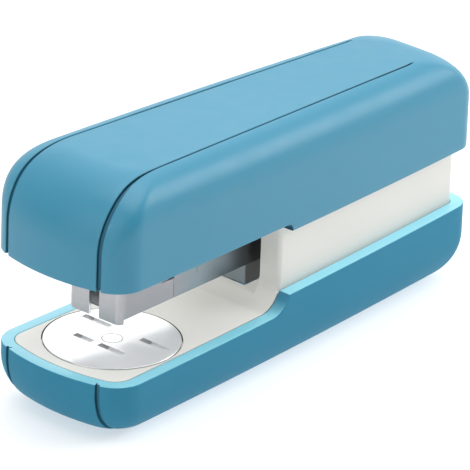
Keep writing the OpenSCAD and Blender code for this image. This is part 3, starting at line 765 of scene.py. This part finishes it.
def scoop(x, y, half_len, half_wide, depth):
    """Boat-shaped tool for a clinch pocket: steep sides, curved floor, sunk into the top of the disc.

    Its first end is marked darker than the rest, painted shade for the end that lies in its own shade.
    """
    rows, faces, marks = [], [], []
    steps, shaded = 26, 8
    w = half_wide
    for i in range(steps + 1):
        t = -1 + 2 * i / steps
        d = depth * (1 - t * t) ** 0.8 + 0.02
        section = [(-w - 0.10, 0.14), (-w, -0.05 * (d / depth)), (-w * 0.86, -d * 0.92), (-w * 0.6, -d),
                   (w * 0.6, -d), (w * 0.86, -d * 0.92), (w, -0.05 * (d / depth)), (w + 0.10, 0.14)]
        rows += [(x + half_len * t, y + a, ANVIL_TOP + b) for a, b in section]
    n = len(section)
    for i in range(steps):
        for k in range(n):
            m = (k + 1) % n
            faces.append((i * n + k, i * n + m, (i + 1) * n + m, (i + 1) * n + k))
            inside = POCKET_SHADE_MARK if i < shaded else POCKET_AND_RING_SHADE_MARK
            marks.append(0 if k in (0, n - 2) else inside)
    faces.append(tuple(range(n)))
    faces.append(tuple(range(steps * n, steps * n + n)))
    return make_object("scoop", rows, faces, marks + [POCKET_AND_RING_SHADE_MARK] * 2)


# ---- Coil springs ----


def coil(name, node, axis, wire, turns):
    """Coil spring that fills the box of a CAD node, wound about the Y (1) or the Z (2) axis."""
    low, high = box_mm(node)
    middle = (low + high) / 2
    radius = (high[0] - low[0]) / 2 - wire
    across = 3 - axis
    per_turn, sides = 20, 8
    steps = turns * per_turn
    shell = Shell()
    for i in range(steps + 1):
        a = 2 * math.pi * i / per_turn
        along = low[axis] + wire + (high[axis] - low[axis] - 2 * wire) * i / steps
        ring = []
        for k in range(sides):
            b = 2 * math.pi * k / sides
            r = radius + wire * math.cos(b)
            spot = [middle[0] + r * math.cos(a), 0, 0]
            spot[across] = middle[across] + r * math.sin(a)
            spot[axis] = along + wire * math.sin(b)
            ring.append(spot)
        shell.ring(ring)
    return shell.close(name)


def ends(node, axis):
    """Middle points of the two ends of a CAD node along an axis, in metres."""
    low, high = (Vector(v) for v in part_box(node))
    start, end = (low + high) / 2, (low + high) / 2
    start[axis], end[axis] = low[axis], high[axis]
    return start, end


# ---- Materials ----


class Look:
    """Principled material with helpers for procedural colour, roughness and bump."""

    def __init__(self, name, metallic=0.0, coat=0.0):
        self.material = bpy.data.materials.new(name)
        self.material.use_nodes = True
        self.nodes = self.material.node_tree.nodes
        self.links = self.material.node_tree.links
        self.shader = self.nodes["Principled BSDF"]
        self.set("Metallic", metallic)
        self.set("IOR", 1.5)
        self.set("Coat Weight", coat)
        self.set("Coat Roughness", 0.1)
        self.coords = self.nodes.new("ShaderNodeTexCoord")

    def set(self, socket, value):
        self.shader.inputs[socket].default_value = value

    def noise(self, scale, detail=3.0, stretch=(1, 1, 1)):
        """Noise in the piece's own axes, with its coordinates stretched."""
        mapping = self.nodes.new("ShaderNodeMapping")
        mapping.inputs["Scale"].default_value = stretch
        self.links.new(self.coords.outputs["Object"], mapping.inputs["Vector"])
        noise = self.nodes.new("ShaderNodeTexNoise")
        noise.inputs["Scale"].default_value = scale
        noise.inputs["Detail"].default_value = detail
        noise.inputs["Roughness"].default_value = 0.5
        self.links.new(mapping.outputs["Vector"], noise.inputs["Vector"])
        return noise.outputs["Fac"]

    def edges(self, low=0.5, high=0.56):
        """Share of worn edge, 0 on flats and 1 on convex edges."""
        geometry = self.nodes.new("ShaderNodeNewGeometry")
        return self.span(geometry.outputs["Pointiness"], low, high, 0.0, 1.0)

    def span(self, value, low, high, to_low, to_high):
        """The value mapped from one range to another and held within it."""
        span = self.nodes.new("ShaderNodeMapRange")
        for socket, number in zip(("From Min", "From Max", "To Min", "To Max"), (low, high, to_low, to_high)):
            span.inputs[socket].default_value = number
        self.links.new(value, span.inputs["Value"])
        return span.outputs["Result"]

    def along_y(self, y_from, y_to):
        """Share that grows from 0 to 1 between two places along the piece's own Y axis, in mm."""
        split = self.nodes.new("ShaderNodeSeparateXYZ")
        self.links.new(self.coords.outputs["Object"], split.inputs["Vector"])
        return self.span(split.outputs["Y"], y_from * MM, y_to * MM, 0.0, 1.0)

    def mix(self, share, a, b):
        """Blend of two colours; each is a colour or a node's output."""
        mix = self.nodes.new("ShaderNodeMix")
        mix.data_type = "RGBA"
        self.links.new(share, mix.inputs["Factor"])
        for socket, colour in zip([s for s in mix.inputs if s.type == "RGBA"], (a, b)):
            if isinstance(colour, bpy.types.NodeSocket):
                self.links.new(colour, socket)
            else:
                socket.default_value = (*colour, 1)
        return [s for s in mix.outputs if s.type == "RGBA"][0]

    def colour(self, output):
        self.links.new(output, self.shader.inputs["Base Color"])

    def rough(self, value, low, high):
        """Roughness between low and high, following a noise."""
        self.links.new(self.span(value, 0.3, 0.7, low, high), self.shader.inputs["Roughness"])

    def bump(self, value, strength, distance):
        """Adds relief on top of any relief that is there already."""
        bump = self.nodes.new("ShaderNodeBump")
        bump.inputs["Strength"].default_value = strength
        bump.inputs["Distance"].default_value = distance
        self.links.new(value, bump.inputs["Height"])
        if self.shader.inputs["Normal"].links:
            previous = self.shader.inputs["Normal"].links[0].from_socket
            self.links.new(previous, bump.inputs["Normal"])
        self.links.new(bump.outputs["Normal"], self.shader.inputs["Normal"])


def moulded(name, dark, light, worn, rough, grain, grain_strength, coat=0.0, specular=0.5, front=None):
    """Moulded plastic: faint tone variation, fine grain, and edges rubbed a little lighter.

    front is two places along Y and a lighter colour ahead of them, a painted highlight, which fades out
    between them.
    """
    look = Look(name, coat=coat)
    look.set("Specular IOR Level", specular)
    tone = look.noise(38, detail=4)
    base = look.mix(look.span(tone, 0.3, 0.7, 0, 1), dark, light)
    # Painted highlight: the front colour ahead of the two places
    if front:
        base = look.mix(look.along_y(*front[:2]), front[2], base)
    look.colour(look.mix(look.span(look.edges(0.53, 0.66), 0, 1, 0, 0.35), base, worn))
    look.rough(look.noise(160, detail=5), *rough)
    look.bump(look.noise(grain, detail=2), grain_strength, 0.00008)
    look.bump(look.noise(26, detail=1), 0.012, 0.0008)
    return look.material


def sheet_steel(name, dark, light, rough, brush=(30, 1, 30), scale=90, strength=0.03,
                metallic=1.0, coat=0.0, rear=()):
    """Rolled or brushed steel, with the lines of its rolling along one axis.

    rear is rows of two places along Y and a darker colour behind them, painted shade, which fades in between
    them.
    """
    look = Look(name, metallic=metallic, coat=coat)
    lines = look.noise(scale, detail=6, stretch=brush)
    base = look.mix(look.span(lines, 0.3, 0.7, 0, 1), dark, light)
    stain = look.noise(60, detail=3)
    base = look.mix(look.span(stain, 0.35, 0.75, 0, 0.3), base, tuple(c * 0.8 for c in dark))
    # Painted shade: darker colours fade in towards the rear
    for y_from, y_to, colour in rear:
        base = look.mix(look.along_y(y_from, y_to), base, colour)
    look.colour(base)
    look.rough(look.noise(220, detail=4, stretch=brush), *rough)
    look.bump(lines, strength, 0.00004)
    return look.material


SOFT_BLUE = moulded("soft_blue", (0.041, 0.233, 0.352), (0.044, 0.239, 0.360), (0.10, 0.33, 0.46),
                    (0.34, 0.42), 2600, 0.08, specular=0.36)
# The cover's blue a little darker: painted shade on the base's low sides
TUB_BLUE = moulded("tub_blue", (0.034, 0.21, 0.325), (0.037, 0.216, 0.333), (0.09, 0.32, 0.45),
                   (0.46, 0.54), 2600, 0.10, specular=0.08)
# Darker blue for the groove's ledge and slit: painted shade in the crease
GROOVE_SHADE_BLUE = moulded("groove_shade_blue", (0.022, 0.115, 0.18), (0.025, 0.125, 0.19), (0.05, 0.20, 0.30),
                      (0.45, 0.55), 2600, 0.10, specular=0.2)
SHADED_BLUE = moulded("shaded_blue", (0.008, 0.055, 0.095), (0.009, 0.060, 0.100), (0.012, 0.07, 0.11),
                      (0.45, 0.55), 2600, 0.10, specular=0.1)
# The step's own blue, with a painted highlight at its foot that fades as the step rises
STEP_BLUE_AND_SHEEN = moulded("step_blue_and_sheen", (0.038, 0.22, 0.34), (0.041, 0.23, 0.35), (0.06, 0.27, 0.40),
                    (0.34, 0.44), 2600, 0.06,
                    front=(STEP_START + 1.5, STEP_START + 5.4, (0.20, 0.55, 0.66)))
SEAT_SHADE = moulded("seat_shade", (0.10, 0.10, 0.095), (0.12, 0.12, 0.11), (0.14, 0.14, 0.13),
                     (0.5, 0.6), 2200, 0.07, specular=0.1)
# Lighter blue on the rim's level faces is a painted highlight; the coat gives them real gloss
RIM_SHEEN_BLUE = moulded("rim_sheen_blue", (0.20, 0.545, 0.655), (0.215, 0.565, 0.675), (0.28, 0.62, 0.72),
                   (0.30, 0.38), 2600, 0.05, coat=0.4)
CREAM = moulded("cream", (0.67, 0.66, 0.615), (0.69, 0.68, 0.635), (0.78, 0.77, 0.73),
                (0.42, 0.52), 2200, 0.07)
# Black plastic; faces ahead of y = -4.35, the lift block's front among them, are painted lighter as a
# highlight
BLACK_PLASTIC = moulded("black_plastic", (0.068, 0.074, 0.080), (0.080, 0.087, 0.094), (0.14, 0.15, 0.16),
                        (0.26, 0.34), 1800, 0.08, front=(-4.35, -3.9, (0.25, 0.31, 0.34)))
SOLE_RUBBER = moulded("sole_rubber", (0.030, 0.160, 0.240), (0.038, 0.185, 0.270), (0.06, 0.23, 0.32),
                      (0.70, 0.85), 1200, 0.25)
SATIN_STEEL = sheet_steel("satin_steel", (0.46, 0.46, 0.475), (0.50, 0.50, 0.515), (0.27, 0.33), scale=30)
# The nose's side behind its front face is painted darker: painted shade
NOSE_STEEL_SHADED = sheet_steel("nose_steel_shaded", (0.42, 0.42, 0.435), (0.455, 0.455, 0.47), (0.27, 0.33), scale=30,
                         rear=((-53.2, -51.0, (0.29, 0.29, 0.305)),))
# Painted shade of the throat: darker towards the rear, nearly black at the rear end
MAGAZINE_STEEL_SHADED = sheet_steel("magazine_steel_shaded", (0.28, 0.28, 0.295), (0.30, 0.30, 0.315), (0.27, 0.33),
                             scale=30, rear=((-36, -27, (0.22, 0.265, 0.285)),
                                             (-25, -9, (0.065, 0.072, 0.08))))
ZINC_STEEL = sheet_steel("zinc_steel", (0.40, 0.42, 0.44), (0.55, 0.57, 0.60), (0.34, 0.50), (1, 1, 1), 240)
DARK_STEEL = sheet_steel("dark_steel", (0.14, 0.145, 0.155), (0.20, 0.205, 0.215), (0.35, 0.45), scale=30)
SPRING_STEEL = sheet_steel("spring_steel", (0.30, 0.29, 0.27), (0.38, 0.37, 0.35), (0.28, 0.36), (1, 1, 1))
CHROME = sheet_steel("chrome", (0.91, 0.915, 0.92), (0.94, 0.945, 0.95), (0.20, 0.26), (1, 1, 1),
                     strength=0.015, metallic=0.45, coat=0.5)
# Greyer steel in the pockets and the pivot ring: painted shade
POCKET_SHADED_STEEL = sheet_steel("pocket_shaded_steel", (0.66, 0.67, 0.68), (0.74, 0.75, 0.76), (0.25, 0.32), (1, 1, 1),
                           strength=0.015, metallic=0.3)
POCKET_SHADE = sheet_steel("pocket_shade", (0.30, 0.305, 0.31), (0.38, 0.385, 0.39), (0.25, 0.32), (1, 1, 1),
                           strength=0.015, metallic=0.3)
STAPLE_WIRE = sheet_steel("staple_wire", (0.58, 0.59, 0.62), (0.68, 0.69, 0.72), (0.22, 0.30), (2, 90, 2))

FINISH = {
    "soft_blue": SOFT_BLUE, "sole_rubber": SOLE_RUBBER, "cream": CREAM, "zinc_steel": ZINC_STEEL,
    "dark_steel": DARK_STEEL, "spring_steel": SPRING_STEEL, "satin_steel": SATIN_STEEL,
    "chrome": CHROME, "staple_wire": STAPLE_WIRE, "black_plastic": BLACK_PLASTIC,
}


# ---- Camera, floor and light, in metres and degrees ----

CAM_AZ, CAM_EL, CAM_ROLL = 40.35, 24.72, 2.10
CAM_DISTANCE = 1.3964
CAM_AIM = Vector((0.01476, -0.01999, 0.03899))
CAM_LENS = 446.9
CAM_SENSOR = 36

# Direction in which the room gets darker, and the two fades along it: from, to, strength at each
ROOM_DARK_TOWARD = (0.52, -0.80, -0.30)
ROOM_FADES = ((-0.3, 0.55, 0.70, 0.02), (-0.85, -0.35, 0.7, 0.0))

# Place, aim, size and power of each lamp, and whether it casts a shadow
LAMPS = {
    "fill": ((0.05, 0.0, 1.0), (0, 0, 0), (0.9, 0.9), 7.9, False),
    "front": ((0.0, -1.0, 0.5), (0, 0, 0), (0.9, 0.9), 3.9, False),
    "right": ((0.40, 0.52, 0.34), (0, 0, 0.04), (0.35, 0.3), 1.85, True),
}
FLOOR_HALF = 3000


def add_camera():
    az, el, roll = (math.radians(v) for v in (CAM_AZ, CAM_EL, CAM_ROLL))
    back = Vector((math.sin(az) * math.cos(el), -math.cos(az) * math.cos(el), math.sin(el)))
    right = Vector((math.cos(az), math.sin(az), 0))
    up = back.cross(right)
    right, up = (right * math.cos(roll) + up * math.sin(roll),
                 up * math.cos(roll) - right * math.sin(roll))
    camera = bpy.data.objects.new("camera", bpy.data.cameras.new("camera"))
    camera.matrix_world = Matrix((right, up, back)).transposed().to_4x4()
    camera.location = CAM_AIM + back * CAM_DISTANCE
    camera.data.lens = CAM_LENS
    camera.data.sensor_width = CAM_SENSOR
    camera.data.clip_end = 20
    bpy.context.scene.collection.objects.link(camera)
    bpy.context.scene.camera = camera


def area_light(name, place, aim, size, power, shadow):
    light = bpy.data.lights.new(name, "AREA")
    light.shape = "RECTANGLE"
    light.size, light.size_y = size
    light.energy = power
    light.use_shadow = shadow
    lamp = bpy.data.objects.new(name, light)
    lamp.location = place
    lamp.rotation_euler = (Vector(aim) - Vector(place)).to_track_quat("-Z", "Y").to_euler()
    bpy.context.scene.collection.objects.link(lamp)


def add_room():
    """Soft surroundings, darker towards the front right corner and brightest at the rear left."""
    world = bpy.data.worlds.new("studio")
    world.use_nodes = True
    nodes, links = world.node_tree.nodes, world.node_tree.links
    background = nodes["Background"]
    coords = nodes.new("ShaderNodeTexCoord")
    toward = nodes.new("ShaderNodeVectorMath")
    toward.operation = "DOT_PRODUCT"
    toward.inputs[1].default_value = ROOM_DARK_TOWARD
    links.new(coords.outputs["Generated"], toward.inputs[0])
    total = nodes.new("ShaderNodeMath")
    total.operation = "ADD"
    for i, numbers in enumerate(ROOM_FADES):
        span = nodes.new("ShaderNodeMapRange")
        for socket, number in zip(("From Min", "From Max", "To Min", "To Max"), numbers):
            span.inputs[socket].default_value = number
        links.new(toward.outputs["Value"], span.inputs["Value"])
        links.new(span.outputs["Result"], total.inputs[i])
    links.new(total.outputs["Value"], background.inputs["Strength"])
    background.inputs["Color"].default_value = (1, 1, 1, 1)
    bpy.context.scene.world = world
    bpy.context.scene.view_settings.view_transform = "Standard"


def add_floor():
    """Wide sheet of pale paper."""
    floor = make_object("floor", [(-FLOOR_HALF, -FLOOR_HALF, 0), (FLOOR_HALF, -FLOOR_HALF, 0),
                                  (FLOOR_HALF, FLOOR_HALF, 0), (-FLOOR_HALF, FLOOR_HALF, 0)], [(0, 1, 2, 3)])
    look = Look("floor_paper")
    look.colour(look.mix(look.noise(3), (0.88, 0.88, 0.88), (0.90, 0.90, 0.90)))
    look.rough(look.noise(40), 0.55, 0.65)
    dress(floor, look.material)


# ---- Assembly ----

SOFT_EDGES = {
    "nose_plate": 0.16, "magazine_channel": 0.22, "magazine_liner": 0.12, "lift_block": 0.25,
    "handle_frame": 0.2, "staple_pusher": 0.2, "hinge_bracket": 0.15, "rod_bracket": 0.15,
    "driver_blade": 0.08, "chassis_plate": 0.15,
}
# Material indices: the painted shade under the cover's arch, the painted highlight on the tub's rim and on
# its step, the painted shade on the wall of the disc's seat
SHADED_MARK = 2
RIM_SHEEN_MARK, STEP_SHEEN_MARK = 2, 3
SEAT_MARK = 1
CAD_SLOTS = {row["node"]: row["material_slot"] for row in frame["record"]["subparts"]}
# Steel with painted shade, darker towards the rear, because it stands in the dark throat
THROAT_SHADED_STEEL = {"magazine_channel": MAGAZINE_STEEL_SHADED, "magazine_rivets": MAGAZINE_STEEL_SHADED,
                "nose_plate": NOSE_STEEL_SHADED}
# Name, CAD node, axis, wire radius, turns, and the bodies at its two ends
COILS = (("pusher_coil", "pusher_spring", 1, 0.25, 22, ("pusher", "magazine")),
         ("return_coil", "return_spring", 2, 0.4, 8, ("base", "magazine")))


def dress_cad(node, material):
    """Gives a CAD node its look without touching its mesh."""
    for slot in bpy.data.objects[node].material_slots:
        slot.link = "OBJECT"
        slot.material = material


def soften_cad(node, width):
    """Rounds a CAD node's edges a little, as a modifier on top of its mesh."""
    mod = bpy.data.objects[node].modifiers.new("edge", "BEVEL")
    mod.width = width * MM
    mod.segments = 2
    mod.limit_method = "ANGLE"
    mod.angle_limit = math.radians(35)


def place(piece, body, slot, *nodes):
    """Puts the piece in the place of CAD nodes, on their body."""
    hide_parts(*nodes)
    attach(piece, body)


def add_cover():
    cover = cover_shell()
    path = cover_path(tree_of(cover))
    dress(cover, SOFT_BLUE, GROOVE_SHADE_BLUE, SHADED_BLUE)
    for flip in (False, True):
        cut(cover, sweep_cutter("groove", path, cover_groove_profile, flip))
    shade(cover)
    # The underside of the arch in the lower edge is in shade
    for face in cover.data.polygons:
        centre = face.center / MM
        arch = NOTCH_Y - NOTCH_RUN - 0.1 < centre.y < NOTCH_Y + 0.05
        low_side = abs(centre.x) > SIDE_X and centre.z < ARCH_TOP
        if arch and low_side and face.normal.z < -0.05 and face.normal.y < -0.1:
            face.material_index = SHADED_MARK
    place(cover, "handle", "soft_blue", "top_cover")


def add_tub():
    tub = tub_shell()
    path = base_path(tree_of(tub))
    dress(tub, TUB_BLUE, GROOVE_SHADE_BLUE, RIM_SHEEN_BLUE, STEP_BLUE_AND_SHEEN)
    for flip in (False, True):
        cut(tub, sweep_cutter("groove", path, base_groove_profile, flip))
    cut(tub, sole_seat())
    shade(tub)
    # Painted highlight: the rim's level faces and the faces of its step take the lighter blues
    for face in tub.data.polygons:
        centre = face.center / MM
        if abs(centre.z - float(rim_height(centre.y))) < 0.12:
            face.material_index = STEP_SHEEN_MARK if STEP_START + 0.2 < centre.y < STEP_Y else RIM_SHEEN_MARK
    place(tub, "base", "soft_blue", "base_tub")


def add_inner():
    inner = inner_shell()
    shade(inner)
    dress(inner, CREAM, SEAT_SHADE)
    # The wall of the disc's seat is a thin dark line
    for face in inner.data.polygons:
        centre = face.center / MM
        off_edge = abs(math.hypot(centre.x, centre.y - ANVIL_Y) - ANVIL_R)
        if centre.z < RIM_Z - 0.13 and off_edge < 0.5:
            face.material_index = SEAT_MARK
    place(inner, "base", "cream", "inner_body")


def add_disc():
    disc = anvil_disc()
    shade(disc)
    place(disc, "anvil", "chrome", "anvil_plate")


def add_coil(name, node, axis, wire, turns, bodies):
    """Coil spring in the place of a CAD node; it is not tied to the two bodies."""
    spring = coil(name, node, axis, wire, turns)
    shade(spring, 60)
    dress(spring, SPRING_STEEL)
    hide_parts(node)
    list(ends(node, axis))
    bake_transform(spring)


add_camera()
add_room()
for lamp_name, values in LAMPS.items():
    area_light(lamp_name, *values)
add_floor()

for node_name, slot_name in CAD_SLOTS.items():
    dress_cad(node_name, THROAT_SHADED_STEEL.get(node_name, FINISH[slot_name]))
for node_name, edge_width in SOFT_EDGES.items():
    soften_cad(node_name, edge_width)

add_cover()
add_tub()
add_inner()
add_disc()
for row in COILS:
    add_coil(*row)
